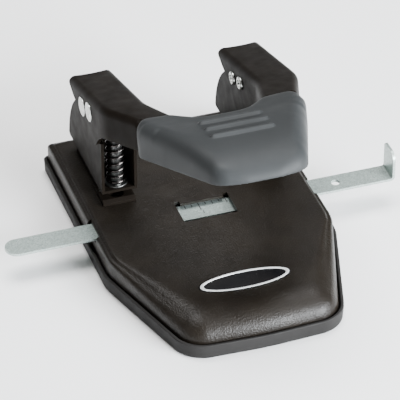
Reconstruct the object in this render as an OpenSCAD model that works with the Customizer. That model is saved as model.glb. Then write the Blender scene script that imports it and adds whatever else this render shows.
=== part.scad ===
// Heavy-duty two-hole desk punch with one broad comfort handle.
// X is left to right, -Y is the front where paper goes in, +Z is up.
// The origin lies on the resting plane, midway between the two punch axes.

/* [Base] */
// Half width of the chip tray
tray_half_w = 53.7; // [50:0.1:56]
// Distance from the punch line back to the tray's rear edge
tray_rear = 54; // [50:0.5:56]
// Distance from the punch line forward to the tray's front edge
tray_front = 102; // [98:0.5:106]
// Half width of the tray's front edge
tray_front_half_w = 35.3; // [33:0.1:38]
// Distance forward to the corner where the tray's sides turn inward
tray_side_corner = 42; // [38:0.5:46]
// Height of the tray's wall
tray_h = 7; // [6:0.5:8]
// Wall and floor thickness of the tray
tray_t = 1.5; // [1.4:0.1:2]
// Height of the shell's flat top
top_z = 16.3; // [16:0.1:17]
// Height of the narrow ledge round the shell's flat top
ledge_z = 15.1; // [14.8:0.1:15.4]
// Thickness of the shell's sheet steel
sheet = 1.2; // [1:0.1:1.2]

/* [Punch heads] */
// Distance between the two punched holes
hole_spacing = 69.85; // [68:0.05:80]
// Diameter of a punched hole
hole_d = 6.35; // [6:0.05:6.6]
// Outer width of a tower across its two cheeks
tower_w = 16.2; // [16:0.1:16.6]
// Sheet thickness of the towers
tower_t = 1.3; // [1.2:0.1:1.6]
// Height of a tower's underside
tower_z = 23.6; // [23.4:0.1:24.2]
// Height of the die plates' top face
die_z = 18.9; // [18.4:0.1:19.2]
// Wire diameter of the return springs
wire_d = 1; // [0.9:0.1:1.1]
// Mean coil diameter of the return springs
coil_d = 7.8; // [7.8:0.1:8.8]

/* [Handle] */
// Tilt of the raised handle
rest_tilt = 16.1; // [14:0.1:18]
// Distance from the pivot rivet to the drive rivet
lever = 10.72; // [10.5:0.01:11]
// Angle of the drive rivet above the pivot's level when the handle is raised
lever_rise = 19.4; // [18.5:0.1:20.5]
// Sheet thickness of the yoke
yoke_t = 1.6; // [1.4:0.1:1.8]
// Length of the yoke's straight arms
arm_len = 51.5; // [49:0.5:53]
// Angle at which the yoke's sides turn inward in front of the arms
yoke_taper = 20; // [19:0.5:21]
// Length of the yoke's tapered front part
yoke_front = 61; // [60:0.5:61]
// Length of a raised rib on the grip
rib_len = 28; // [20:1:32]

/* [Ruler] */
// Width of the ruler strip
ruler_w = 11.1; // [10.5:0.1:12]
// Thickness of the ruler strip
ruler_t = 1.2; // [1:0.1:1.2]
// Reach of the ruler's rounded end, to the left
ruler_left = 91; // [85:1:95]
// Reach of the ruler's stop, to the right
ruler_right = 89; // [85:0.2:92]
// Height of the ruler's stop above the strip
stop_h = 12.8; // [10:0.2:14]

/* [Hidden] */

$fn = 48;
eps = 0.01;
half_spacing = hole_spacing / 2;

// Colours
paint = [0.20, 0.18, 0.16];
tray_grey = [0.33, 0.32, 0.31];
zinc = [0.72, 0.76, 0.74];
steel = [0.55, 0.55, 0.56];

// Base outline
bow = 1.6;
rear_r = 3;
side_r = 26;
front_r = 15;
bow_r = 160;
shell_inset = 1.9;
ledge_inset = 2.7;
riser_inset = 3.7;
top_inset = 4.9;
ledge_round = 0.9;
front_from = 86.5;
front_len = 15;
front_low = 7;
arc_steps = 6;
ring_inset = shell_inset + sheet + 0.4;
ring_t = 1.2;
ring_h = 3.2;
shell_bottom = tray_t + 0.2;

// Ruler and its window
ruler_y = -17.3;
ruler_gap = 0.3;
ruler_top = ledge_z - sheet - ruler_gap;
ruler_bottom = ruler_top - ruler_t;
window_x = 0.4;
window_y = -20.7;
window_half_l = 12.4;
window_half_w = 6.6;
notch_w = 2.4;
notch_l = 2.2;
slot_half_w = 6.6;
slot_from = 49.9;
keeper_x = 30;

// Punch head
cheek_out = tower_w / 2;
cheek_in = cheek_out - tower_t;
tower_front = -5.8;
tower_rear = 45;
tower_step = 1.2;
cheek_arc_y = 8;
cheek_arc_z = 22;
cheek_arc_r = 37;
cheek_arc_from = 51.5;
cheek_arc_to = 4;
hole_clear_r = 4.2;
die_rivet_x = 5.6;
die_rivet_y = 4.5;
die_rivet_r = 1.3;
floor_top = tower_z + tower_t;
stop_y = 9.4;
block_rear = 41;
block_half_w = 6;
rivet_y = [19, 33];
pivot_y = 14.9;
pivot_z = 57.65;
drive_y = pivot_y - lever * cos(lever_rise);
drive_z = pivot_z + lever * sin(lever_rise);
drive_front_y = pivot_y - lever;
ear_r = 5.8;
punch_r = hole_d / 2 - 0.05;
punch_tip = 23.8;
punch_neck = 57;
head_r = 5.5;
head_above = 3.3;
lug_half_w = 4.5;
lug_wall = 1.3;
seat_t = 0.8;
seat_r = 5.2;
rivet_r = 2.2;
run_gap = 0.06;

// Yoke, in its own frame: origin between the two rivets of an arm, -Y forward along the arms
handle_y = 12.5;
handle_z = 59.1;
plate_top = 7.5;
joggle = 3.4;
joggle_at = 20.5;
bend_y = -28.9;
arm_out = 10.1;
arm_in_taper = 13;
arm_in_len = 24;
crossbar_from = 36;
crossbar_half = 13.5;
front_clip = 6;
yoke_front_half = half_spacing + arm_out - yoke_front * tan(yoke_taper);
screw_x = 10;
screw_at = 56;
screw_r = 1.5;

// Grip, measured forward from the yoke's bend
grip_from = 22.5;
grip_notch = 31.8;
grip_to = 83.4;
grip_bottom = -7.5;
grip_wall = 2.4;
grip_top_wall = 1.7;
grip_rear_half = 40.4;
grip_waist_half = 9;
grip_lobe_x = 20;
grip_front_x = 8;
grip_front_corner = 3;
grip_side_slope = 0.3545;
grip_crown_from = 40;
grip_crown_power = 2.2;
arm_slot_from = 18.2;
arm_slot_to = 38.5;
rib_at = [41.5, 49.4, 57.2];
rib_r = 1.8;
rib_sink = 0.9;

// ---- Helpers -------------------------------------------------------------------------------

function unit(v) = v / norm(v);

// Outline with its corners rounded: p is the list of corners, r the list of radii.
function rounded(p, r, steps = arc_steps) = [
    for (i = [0:len(p) - 1])
        let (
            c = p[i],
            d1 = unit(p[(i + len(p) - 1) % len(p)] - c),
            d2 = unit(p[(i + 1) % len(p)] - c),
            half = acos(max(-1, min(1, d1 * d2))) / 2,
            m = c + unit(d1 + d2) * r[i] / sin(half),
            s = c + d1 * r[i] / tan(half) - m,
            e = c + d2 * r[i] / tan(half) - m,
            a = atan2(s[1], s[0]),
            turn = atan2(s[0] * e[1] - s[1] * e[0], s * e)
        )
        for (k = [0:steps])
            m + r[i] * [cos(a + turn * k / steps), sin(a + turn * k / steps)]
];

// The base's outline, drawn in from the tray's outer edge by d.
function base_outline(d) =
    let (
        t = unit([tray_front_half_w - tray_half_w, tray_side_corner - tray_front]),
        n = [t[1], -t[0]],
        side_x = tray_half_w - d,
        side_y = -tray_side_corner + d * n[1] - d * (1 + n[0]) / t[0] * t[1],
        front_y = -tray_front + d,
        front_x = tray_half_w + d * n[0] + (front_y + tray_side_corner - d * n[1]) / t[1] * t[0]
    )
    rounded(
        [[side_x, tray_rear - d], [side_x, side_y], [front_x, front_y], [0, front_y - bow],
         [-front_x, front_y], [-side_x, side_y], [-side_x, tray_rear - d]],
        [max(rear_r - d, 1), side_r - d, front_r - d, bow_r, front_r - d, side_r - d, max(rear_r - d, 1)]);

module base_slab(d, z0, z1) {
    translate([0, 0, z0]) linear_extrude(z1 - z0) polygon(base_outline(d));
}

// Repeats its children at the two punch axes, or at one of them; side is -1 for left, 1 for right.
module at_punch(side) {
    translate([side * half_spacing, 0, 0]) children();
}

// Puts its children, drawn in the yoke's own frame, where the raised handle is.
module raised() {
    translate([0, handle_y, handle_z]) rotate([-rest_tilt, 0, 0]) children();
}

module x_cylinder(r, x0, x1, y, z) {
    translate([x0, y, z]) rotate([0, 90, 0]) cylinder(r = r, h = x1 - x0);
}

// Extrudes an outline drawn in (y, z) from x0 to x1.
module y_z_plate(points, x0, x1) {
    translate([x0, 0, 0]) rotate([90, 0, 90]) linear_extrude(x1 - x0) polygon(points);
}

// ---- Base ----------------------------------------------------------------------------------

// A tapering step of the base's outline: inset d0 at height z0, inset d1 at height z1.
module base_step(d0, z0, d1, z1) {
    hull() {
        base_slab(d0, z0 - eps, z0);
        base_slab(d1, z1 - eps, z1);
    }
}

// Side outline of the shell in (y, z), drawn in by d: flat, then one long quarter ellipse down to the front.
function front_slope(d) = concat(
    [[tray_rear, -2], [tray_rear, top_z - d]],
    [for (a = [0:7.5:90]) [-front_from - (front_len - d) * sin(a),
                           front_low + (top_z - front_low - d) * cos(a)]],
    [[-front_from - front_len + d, -2]]);

module shell_form(d) {
    intersection() {
        union() {
            base_slab(shell_inset + d, shell_bottom - (d > 0 ? 1 : 0), ledge_z - ledge_round - d);
            base_step(shell_inset + d, ledge_z - ledge_round - d, ledge_inset + d, ledge_z - d);
            base_step(riser_inset + d, ledge_z - d, top_inset + d, top_z - d);
        }
        y_z_plate(front_slope(d), -tray_half_w, tray_half_w);
    }
}

module base_shell() {
    slot_len = 10;
    slot_below = 0.6;
    color(paint) difference() {
        shell_form(0);
        shell_form(sheet);
        translate([window_x - window_half_l, window_y - window_half_w, top_z - 4])
            cube([2 * window_half_l, 2 * window_half_w, 8]);
        for (x = [window_x - window_half_l, window_x + window_half_l - notch_w])
            translate([x, window_y, top_z - 4]) cube([notch_w, window_half_w + notch_l, 8]);
        for (x = [-slot_from - slot_len, slot_from])
            translate([x, ruler_y - slot_half_w, ruler_bottom - slot_below])
                cube([slot_len, 2 * slot_half_w, top_z - ruler_bottom + slot_below]);
        for (s = [-1, 1]) at_punch(s) {
            translate([0, 0, top_z - 4]) cylinder(r = hole_clear_r, h = 6);
            for (y = rivet_y) translate([0, y, top_z - 4]) cylinder(r = rivet_r, h = 6);
            for (x = [-1, 1] * die_rivet_x) translate([x, die_rivet_y, top_z - 4])
                cylinder(r = die_rivet_r, h = 6);
        }
    }
}

module chip_tray() {
    color(tray_grey) {
        difference() {
            base_slab(0, 0, tray_h);
            base_slab(tray_t, tray_t, tray_h + 1);
        }
        difference() {
            base_slab(ring_inset, tray_t - 0.5, tray_t + ring_h);
            base_slab(ring_inset + ring_t, tray_t - 1, tray_t + ring_h + 1);
        }
    }
}

module name_badge() {
    badge_x = -0.8;
    badge_y = -74.9;
    badge_l = 20.7;
    badge_w = 6.4;
    color("black") translate([badge_x, badge_y, top_z]) linear_extrude(0.4)
        polygon([for (a = [0:7.5:359]) [badge_l * cos(a), badge_w * sin(a)]]);
}

// ---- Ruler ---------------------------------------------------------------------------------

module ruler_guide() {
    hole_x = 62.5;
    hole_r = 2;
    stop_rear_r = 1.5;
    stop_front_r = 4;
    front = ruler_y - ruler_w / 2;
    rear = ruler_y + ruler_w / 2;
    color(zinc) {
        difference() {
            union() {
                translate([-ruler_left + ruler_w / 2, front, ruler_bottom])
                    cube([ruler_left + ruler_right - ruler_w / 2, ruler_w, ruler_t]);
                translate([-ruler_left + ruler_w / 2, ruler_y, ruler_bottom])
                    cylinder(r = ruler_w / 2, h = ruler_t);
            }
            translate([hole_x, ruler_y, ruler_bottom - 1]) cylinder(r = hole_r, h = ruler_t + 2);
        }
        y_z_plate(
            rounded([[front, ruler_bottom], [rear, ruler_bottom],
                     [rear, ruler_top + stop_h], [front, ruler_top + stop_h]],
                    [eps, eps, stop_rear_r, stop_front_r]),
            ruler_right - ruler_t, ruler_right);
    }
}

// Two clips under the shell that carry the ruler.
module ruler_keepers() {
    clip_w = 8;
    clip_t = 1;
    wall_y = ruler_w / 2 + 0.35;
    color(steel) for (s = [-1, 1]) translate([s * keeper_x - clip_w / 2, ruler_y, 0]) {
        translate([0, -wall_y - clip_t, ruler_bottom - 0.35 - clip_t])
            cube([clip_w, 2 * (wall_y + clip_t), clip_t]);
        for (y = [-wall_y - clip_t, wall_y])
            translate([0, y, ruler_bottom - 0.4]) cube([clip_w, clip_t, top_z - sheet - ruler_bottom + 0.4]);
    }
}

// Bent leaf fixed under the shell in front of the ruler; its free end bears on the ruler from below.
module ruler_spring() {
    leaf_t = 0.5;
    leaf_half_w = 5;
    roof = top_z - sheet;
    low = ruler_bottom - 0.2;
    pad_y = ruler_y - 19;
    color(steel) y_z_plate(
        [[pad_y, roof], [pad_y, roof - leaf_t], [pad_y + 7, roof - leaf_t],
         [pad_y + 9, low - leaf_t], [ruler_y + 5, low - leaf_t], [ruler_y + 7.5, low - leaf_t - 0.8],
         [ruler_y + 7.5, low - 0.8], [ruler_y + 5, low], [pad_y + 9.3, low], [pad_y + 7.3, roof]],
        -leaf_half_w, leaf_half_w);
}

// ---- Punch heads ---------------------------------------------------------------------------

// Side outline of a tower's cheek in (y, z): upright front, notch under the arm, round rear edge.
function cheek_outline() =
    let (step = (cheek_arc_from - cheek_arc_to) / 8)
    concat(
        [[tower_front, tower_z], [tower_front, 50.5], [4.4, 51], [7.9, 52.8], [8.9, 57],
         [pivot_y + 0.5, pivot_z + ear_r], [20, 61.5]],
        [for (a = [cheek_arc_from:-step:cheek_arc_to])
            [cheek_arc_y + cheek_arc_r * cos(a), cheek_arc_z + cheek_arc_r * sin(a)]],
        [[tower_rear - tower_step, tower_z]]);

module tower(side) {
    color(paint) at_punch(side) difference() {
        union() {
            for (s = [-1, 1]) {
                y_z_plate(cheek_outline(), s > 0 ? cheek_in : -cheek_out, s > 0 ? cheek_out : -cheek_in);
                x_cylinder(ear_r, s > 0 ? cheek_in : -cheek_out, s > 0 ? cheek_out : -cheek_in,
                           pivot_y, pivot_z);
            }
            translate([-cheek_out, tower_front, tower_z])
                cube([tower_w, tower_rear - tower_step - tower_front, tower_t]);
        }
        x_cylinder(rivet_r + run_gap, -20, 20, pivot_y, pivot_z);
        translate([0, 0, tower_z - 1]) cylinder(r = hole_d / 2, h = 4);
        for (y = rivet_y) translate([0, y, tower_z - 1]) cylinder(r = rivet_r, h = 4);
    }
}

module backstop(side) {
    color(steel) at_punch(side) difference() {
        translate([-block_half_w, stop_y, top_z])
            cube([2 * block_half_w, block_rear - stop_y, tower_z - top_z]);
        for (y = rivet_y) translate([0, y, top_z - 1]) cylinder(r = rivet_r, h = 10);
    }
}

module die_plate(side) {
    die_half_w = 7.6;
    front = -5.4;
    color(steel) at_punch(side) difference() {
        y_z_plate([[front, top_z], [stop_y, top_z], [stop_y, die_z], [front + 1.6, die_z],
                   [front, die_z - 1.2]], -die_half_w, die_half_w);
        translate([0, 0, top_z - 1]) cylinder(r = hole_d / 2, h = 4);
        for (x = [-1, 1] * die_rivet_x) translate([x, die_rivet_y, top_z - 1])
            cylinder(r = die_rivet_r, h = 4);
    }
}

// Long rivets through tower floor, backstop block and shell.
module tower_rivets() {
    color(steel) for (s = [-1, 1]) at_punch(s) for (y = rivet_y) translate([0, y, 0])
        rotate_extrude() polygon([
            [0, top_z - sheet - 1], [3.4, top_z - sheet - 1], [3.4, top_z - sheet],
            [rivet_r - 0.02, top_z - sheet], [rivet_r - 0.02, floor_top], [4, floor_top],
            [4, floor_top + 0.5], [3.2, floor_top + 1.3], [1.8, floor_top + 1.8], [0, floor_top + 2]]);
}

module die_rivets() {
    color(steel) for (s = [-1, 1]) at_punch(s) for (x = [-1, 1] * die_rivet_x)
        translate([x, die_rivet_y, 0]) rotate_extrude() polygon([
            [0, top_z - sheet - 0.7], [2.2, top_z - sheet - 0.7], [2.2, top_z - sheet],
            [die_rivet_r - 0.02, top_z - sheet], [die_rivet_r - 0.02, die_z], [0, die_z]]);
}

module pivot_spacer(side) {
    color(steel) at_punch(side) difference() {
        x_cylinder(4, -cheek_in, cheek_in, pivot_y, pivot_z);
        x_cylinder(rivet_r + run_gap, -20, 20, pivot_y, pivot_z);
    }
}

module spring_seat(side) {
    color(steel) at_punch(side) translate([0, 0, floor_top]) difference() {
        cylinder(r = seat_r, h = seat_t);
        translate([0, 0, -1]) cylinder(r = hole_d / 2 + 0.2, h = 3);
    }
}

// Return spring: one closed turn at each end, open turns between.
spring_from = floor_top + seat_t;
spring_to = punch_neck;
open_pitch = 3.4;
close_pitch = 1.25;
open_turns = (spring_to - spring_from - 2 * close_pitch - wire_d) / open_pitch;
coil_turns = open_turns + 2;
ring_per_turn = 18;
wire_sides = 8;

function coil_z(t) =
    spring_from + wire_d / 2
    + close_pitch * min(t, 1)
    + open_pitch * max(0, min(t - 1, open_turns))
    + close_pitch * max(0, t - 1 - open_turns);

module spring(side) {
    rings = floor(coil_turns * ring_per_turn);
    points = [
        for (i = [0:rings]) let (t = coil_turns * i / rings, a = 360 * t)
            for (k = [0:wire_sides - 1]) let (b = 360 * k / wire_sides, r = coil_d / 2 + wire_d / 2 * cos(b))
                [r * cos(a), r * sin(a), coil_z(t) + wire_d / 2 * sin(b)]];
    sides = [
        for (i = [0:rings - 1]) for (k = [0:wire_sides - 1])
            let (j = (k + 1) % wire_sides, a = i * wire_sides, b = a + wire_sides)
                each [[a + k, b + k, b + j], [a + k, b + j, a + j]]];
    first_cap = [[for (k = [0:wire_sides - 1]) k]];
    last_cap = [[for (k = [wire_sides - 1:-1:0]) rings * wire_sides + k]];
    color(steel) at_punch(side) polyhedron(points, concat(sides, first_cap, last_cap), convexity = 10);
}

// Punch with a broad head; a lug behind the head carries the slot for the drive rivet.
module punch_pin(side) {
    slot_r = rivet_r + 0.12;
    head_top = drive_z + head_above;
    color(steel) at_punch(side) difference() {
        union() {
            rotate_extrude() polygon([
                [0, punch_tip + 1.2], [punch_r - 0.5, punch_tip + 0.6], [punch_r, punch_tip],
                [punch_r, punch_neck], [head_r, punch_neck], [head_r, drive_z + 1.2],
                [3, head_top], [0, head_top]]);
            translate([-lug_half_w, 0, punch_neck])
                cube([2 * lug_half_w, drive_y + slot_r + lug_wall, head_top - punch_neck]);
        }
        for (y = [drive_front_y, drive_y]) x_cylinder(slot_r, -10, 10, y, drive_z);
        translate([-10, drive_front_y, drive_z - slot_r])
            cube([20, drive_y - drive_front_y, 2 * slot_r]);
    }
}

// ---- Handle --------------------------------------------------------------------------------

function mirror_x(p) = [for (i = [len(p) - 1:-1:0]) [-p[i][0], p[i][1]]];

// Plan of the yoke drawn in by d from its outer faces; forward is -Y.
function yoke_plan(d) =
    let (
        out_x = half_spacing + arm_out - d,
        in_x = half_spacing - arm_out + d,
        rear_y = arm_len + bend_y,
        front_y = bend_y - yoke_front,
        side = [[in_x - arm_in_len * tan(arm_in_taper), bend_y - arm_in_len], [in_x, bend_y],
                [in_x, rear_y], [out_x, rear_y], [out_x, bend_y],
                [yoke_front_half + front_clip * tan(yoke_taper) - d, front_y + front_clip],
                [yoke_front_half - front_clip, front_y + d]],
        bar = [[crossbar_half, bend_y - crossbar_from - d]]
    )
    concat(bar, side, mirror_x(side), mirror_x(bar));

// Depth of the yoke's flanges along its length, in (y, z).
function flange_profile() = [
    [arm_len + bend_y, plate_top], [arm_len + bend_y, plate_top - 2], [17, 0.2], [8.5, -5], [5, -12],
    [1, -15], [-7, -15.2], [-13, -13.8], [-20.5, -9], [bend_y, -6.2], [bend_y - joggle_at, -6],
    [bend_y - yoke_front, -5.6], [bend_y - yoke_front, plate_top]];

// Section through the yoke's plate: arms, joggle and lowered crossbar, in (y, z).
function plate_profile() =
    let (step_y = bend_y - joggle_at, end_y = bend_y - yoke_front - 1, low = plate_top - joggle)
    [[arm_len + bend_y + 1, plate_top], [step_y, plate_top], [step_y - yoke_t, low], [end_y, low],
     [end_y, low - yoke_t], [step_y - yoke_t / 2, low - yoke_t], [step_y + yoke_t / 2, plate_top - yoke_t],
     [arm_len + bend_y + 1, plate_top - yoke_t]];

// Everything below the plate's top face.
function below_plate() =
    let (step_y = bend_y - joggle_at, end_y = bend_y - yoke_front - 1, low = plate_top - joggle)
    [[arm_len + bend_y + 1, plate_top], [step_y, plate_top], [step_y - yoke_t, low], [end_y, low],
     [end_y, -30], [arm_len + bend_y + 1, -30]];

module handle_yoke() {
    wide = 60;
    color(paint) raised() difference() {
        union() {
            intersection() {
                translate([0, 0, -20]) linear_extrude(40) polygon(yoke_plan(0));
                y_z_plate(plate_profile(), -wide, wide);
            }
            intersection() {
                difference() {
                    translate([0, 0, -20]) linear_extrude(40) polygon(yoke_plan(0));
                    translate([0, 0, -21]) linear_extrude(42) polygon(yoke_plan(yoke_t));
                }
                y_z_plate(flange_profile(), -wide, wide);
                y_z_plate(below_plate(), -wide, wide);
            }
        }
        rotate([rest_tilt, 0, 0]) translate([0, -handle_y, -handle_z]) {
            x_cylinder(rivet_r, -wide, wide, pivot_y, pivot_z);
            x_cylinder(rivet_r, -wide, wide, drive_y, drive_z);
        }
        for (x = [-1, 1] * screw_x) translate([x, bend_y - screw_at, -5])
            cylinder(r = screw_r + 0.2, h = 20);
    }
}

// Plan of the grip, drawn in by d; the rear edge is waisted in the middle.
function grip_plan(d) =
    let (
        side_x = function (u) grip_rear_half - (u - grip_from) * grip_side_slope - d,
        rear_y = bend_y - grip_from - d,
        front_y = bend_y - grip_to + d,
        right = [[grip_waist_half, bend_y - grip_notch - d], [grip_lobe_x, rear_y],
                 [side_x(grip_from + d), rear_y],
                 [side_x(grip_to - grip_front_corner), front_y + grip_front_corner],
                 [grip_front_x, front_y]],
        radii = [9, 7, max(6 - d, 1), max(9 - d, 1), 30]
    )
    rounded(concat(right, mirror_x(right)), concat(radii, [for (i = [4:-1:0]) radii[i]]));

// Height of the grip's skin, lowered by d, at u forward of the yoke's bend: flat, then one long crown.
function grip_top(u, d) =
    let (reach = max(0, u - grip_crown_from) / (grip_to - d - grip_crown_from), n = grip_crown_power)
    grip_bottom + (plate_top - grip_bottom - d) * pow(max(0, 1 - pow(reach, n)), 1 / n);

// Side outline of the grip in (y, z), lowered by d.
function grip_crown(d) = concat(
    [[bend_y - grip_from + 1, grip_bottom - 1], [bend_y - grip_from + 1, plate_top - 0.4 - d]],
    [for (a = [0:6:90]) let (u = grip_crown_from + (grip_to - d - grip_crown_from) * sin(a))
        [bend_y - u, grip_top(u, d)]],
    [[bend_y - grip_to + d, grip_bottom - 1]]);

// Raised bars across the top of the grip, each following the crown down.
module grip_ribs() {
    for (u = rib_at)
        translate([0, bend_y - u, grip_top(u, 0) - rib_sink]) {
            x_cylinder(rib_r, -rib_len / 2, rib_len / 2, 0, 0);
            for (s = [-1, 1]) translate([s * rib_len / 2, 0, 0]) sphere(r = rib_r);
        }
}

module handle_grip() {
    wide = 60;
    pocket_top = plate_top - joggle + 0.02;
    color([0.45, 0.47, 0.49]) raised() difference() {
        union() {
            intersection() {
                translate([0, 0, grip_bottom]) linear_extrude(20) polygon(grip_plan(0));
                y_z_plate(grip_crown(0), -wide, wide);
            }
            grip_ribs();
        }
        intersection() {
            translate([0, 0, grip_bottom - 1]) linear_extrude(pocket_top - grip_bottom + 1)
                polygon(grip_plan(grip_wall));
            y_z_plate(grip_crown(grip_top_wall), -wide, wide);
        }
        for (x = [-arm_slot_to, arm_slot_from])
            translate([x, bend_y - grip_from - 6, grip_bottom - 1])
                cube([arm_slot_to - arm_slot_from, 12, pocket_top - grip_bottom + 1]);
        for (x = [-1, 1] * screw_x) translate([x, bend_y - screw_at, pocket_top - 1])
            cylinder(r = screw_r, h = 2.6);
    }
}

// Pan-head screws that hold the grip down on the crossbar, driven from below.
module grip_screws() {
    low = plate_top - joggle - yoke_t;
    color(steel) raised() for (x = [-1, 1] * screw_x) translate([x, bend_y - screw_at, 0])
        rotate_extrude() polygon([
            [0, low - 1.6], [2, low - 1.6], [2.8, low - 0.8], [2.8, low], [screw_r - 0.02, low],
            [screw_r - 0.02, low + yoke_t + 1.4], [0, low + yoke_t + 1.4]]);
}

// Semi-tubular rivet across one arm: domed head on the outer side, rolled hollow end on the inner.
module arm_rivet(side, y, z) {
    face = arm_out;
    color(zinc) at_punch(side) translate([0, y, z]) rotate([0, side * 90, 0]) rotate_extrude() polygon([
        [0, face + 0.9], [1.8, face + 0.85], [3.4, face + 0.65], [4.4, face + 0.3], [4.4, face],
        [rivet_r - 0.02, face], [rivet_r - 0.02, -face], [3.1, -face], [3.1, -face - 0.5],
        [2.4, -face - 1], [1.7, -face - 0.8], [1.5, -face + 4], [0, -face + 5]]);
}

module left_tower() { tower(-1); }
module right_tower() { tower(1); }
module left_backstop() { backstop(-1); }
module right_backstop() { backstop(1); }
module left_die_plate() { die_plate(-1); }
module right_die_plate() { die_plate(1); }
module left_pivot_spacer() { pivot_spacer(-1); }
module right_pivot_spacer() { pivot_spacer(1); }
module left_spring_seat() { spring_seat(-1); }
module right_spring_seat() { spring_seat(1); }
module left_spring() { spring(-1); }
module right_spring() { spring(1); }
module left_punch_pin() { punch_pin(-1); }
module right_punch_pin() { punch_pin(1); }
module left_pivot_rivet() { arm_rivet(-1, pivot_y, pivot_z); }
module right_pivot_rivet() { arm_rivet(1, pivot_y, pivot_z); }
module left_drive_rivet() { arm_rivet(-1, drive_y, drive_z); }
module right_drive_rivet() { arm_rivet(1, drive_y, drive_z); }

base_shell();
chip_tray();
left_tower();
right_tower();
left_backstop();
right_backstop();
left_die_plate();
right_die_plate();
tower_rivets();
die_rivets();
ruler_keepers();
ruler_spring();
ruler_guide();
name_badge();
left_pivot_spacer();
right_pivot_spacer();
left_spring_seat();
right_spring_seat();
left_spring();
right_spring();
left_punch_pin();
right_punch_pin();
handle_yoke();
handle_grip();
grip_screws();
left_pivot_rivet();
right_pivot_rivet();
left_drive_rivet();
right_drive_rivet();
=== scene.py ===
"""A two-hole desk punch: its looks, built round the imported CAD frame.

Metres throughout, in the CAD's frame: +X right, -Y to the front, +Z up.
"""

import math

import bmesh
import bpy
from mathutils import Matrix, Vector
from mathutils.geometry import tessellate_polygon


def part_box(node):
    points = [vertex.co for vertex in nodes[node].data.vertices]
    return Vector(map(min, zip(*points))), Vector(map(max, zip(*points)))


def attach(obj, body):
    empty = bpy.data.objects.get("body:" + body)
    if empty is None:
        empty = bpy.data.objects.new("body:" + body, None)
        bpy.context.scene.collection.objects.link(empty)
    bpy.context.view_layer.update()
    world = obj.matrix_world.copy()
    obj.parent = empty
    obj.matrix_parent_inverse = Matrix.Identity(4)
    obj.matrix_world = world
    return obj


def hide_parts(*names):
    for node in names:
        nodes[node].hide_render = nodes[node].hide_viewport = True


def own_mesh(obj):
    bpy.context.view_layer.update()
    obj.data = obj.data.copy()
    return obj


MM = 0.001

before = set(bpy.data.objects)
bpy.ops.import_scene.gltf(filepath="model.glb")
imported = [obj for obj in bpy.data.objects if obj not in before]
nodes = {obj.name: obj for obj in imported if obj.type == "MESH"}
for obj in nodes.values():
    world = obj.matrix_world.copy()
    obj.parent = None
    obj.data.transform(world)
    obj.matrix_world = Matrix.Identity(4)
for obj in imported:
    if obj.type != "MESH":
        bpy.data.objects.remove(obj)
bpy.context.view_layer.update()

# ---- Places taken from the frame ------------------------------------------------------------

tray_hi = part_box("chip_tray")[1]
ruler_lo, ruler_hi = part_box("ruler_guide")
badge_lo, badge_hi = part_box("name_badge")
punch_x = {side: (lo.x + hi.x) / 2 for side, (lo, hi) in
           {"left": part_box("left_punch_pin"), "right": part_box("right_punch_pin")}.items()}
half_spacing = punch_x["right"]

# The raised handle's own frame: origin between the two rivets of an arm, -Y forward along the arms
REST_TILT = math.radians(16.1)
HANDLE_Y, HANDLE_Z = 12.5 * MM, 59.1 * MM
RAISED = Matrix.Translation((0, HANDLE_Y, HANDLE_Z)) @ Matrix.Rotation(-REST_TILT, 4, "X")
# Half width of an arm over its outer faces, in mm
ARM_HALF = 10.1


# ---- Node materials -------------------------------------------------------------------------

# The part of a noise's 0 to 1 that its values mostly fill
NOISE_SPAN = (0.3, 0.7)


class Shader:
    """A node material being built: add() makes a node, join() links two sockets."""

    def __init__(self, name):
        self.material = bpy.data.materials.new(name)
        self.material.use_nodes = True
        self.tree = self.material.node_tree
        self.tree.nodes.clear()
        self.bsdf = self.add("ShaderNodeBsdfPrincipled")
        out = self.add("ShaderNodeOutputMaterial")
        self.join(self.bsdf, "BSDF", out, "Surface")
        self.place = self.add("ShaderNodeTexCoord")

    def add(self, kind):
        return self.tree.nodes.new(kind)

    def join(self, a, out, b, into):
        self.tree.links.new(a.outputs[out], b.inputs[into])

    def noise(self, scale, detail=3.0, roughness=0.5, stretch=(1, 1, 1)):
        """Noise over the object's own place, with this many waves per metre."""
        mapping = self.add("ShaderNodeMapping")
        mapping.inputs["Scale"].default_value = stretch
        self.join(self.place, "Object", mapping, "Vector")
        node = self.add("ShaderNodeTexNoise")
        node.inputs["Scale"].default_value = scale
        node.inputs["Detail"].default_value = detail
        node.inputs["Roughness"].default_value = roughness
        self.join(mapping, "Vector", node, "Vector")
        return node

    def ramp(self, source, stops):
        """Colours the base with a ramp over a noise: stops are (place, colour)."""
        node = self.add("ShaderNodeValToRGB")
        elements = node.color_ramp.elements
        while len(elements) < len(stops):
            elements.new(0.5)
        for element, (at, colour) in zip(elements, stops):
            element.position = at
            element.color = (*colour, 1)
        self.join(source, "Fac", node, "Fac")
        self.join(node, "Color", self.bsdf, "Base Color")

    def bump(self, source, strength, distance, before=None):
        node = self.add("ShaderNodeBump")
        node.inputs["Strength"].default_value = strength
        node.inputs["Distance"].default_value = distance
        self.join(source, "Fac", node, "Height")
        if before is not None:
            self.join(before, "Normal", node, "Normal")
        self.join(node, "Normal", self.bsdf, "Normal")
        return node

    def roughness(self, source, low, high):
        """Lets a noise move the roughness between low and high."""
        node = self.add("ShaderNodeMapRange")
        node.inputs["From Min"].default_value, node.inputs["From Max"].default_value = NOISE_SPAN
        node.inputs["To Min"].default_value = low
        node.inputs["To Max"].default_value = high
        self.join(source, "Fac", node, "Value")
        self.join(node, "Result", self.bsdf, "Roughness")


def painted(name, low, high, rough, shine, grain, depth):
    """Baked paint over steel: faint colour drift, uneven sheen and a fine wrinkle."""
    s = Shader(name)
    s.ramp(s.noise(70, 4), [(0.3, low), (0.72, high)])
    s.roughness(s.noise(160, 5), *rough)
    s.bsdf.inputs["Specular IOR Level"].default_value = shine
    fine = s.bump(s.noise(grain, 2, 0.6), 0.5, depth)
    s.bump(s.noise(grain * 0.3, 3), 0.2, depth, fine)
    return s.material


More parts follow.
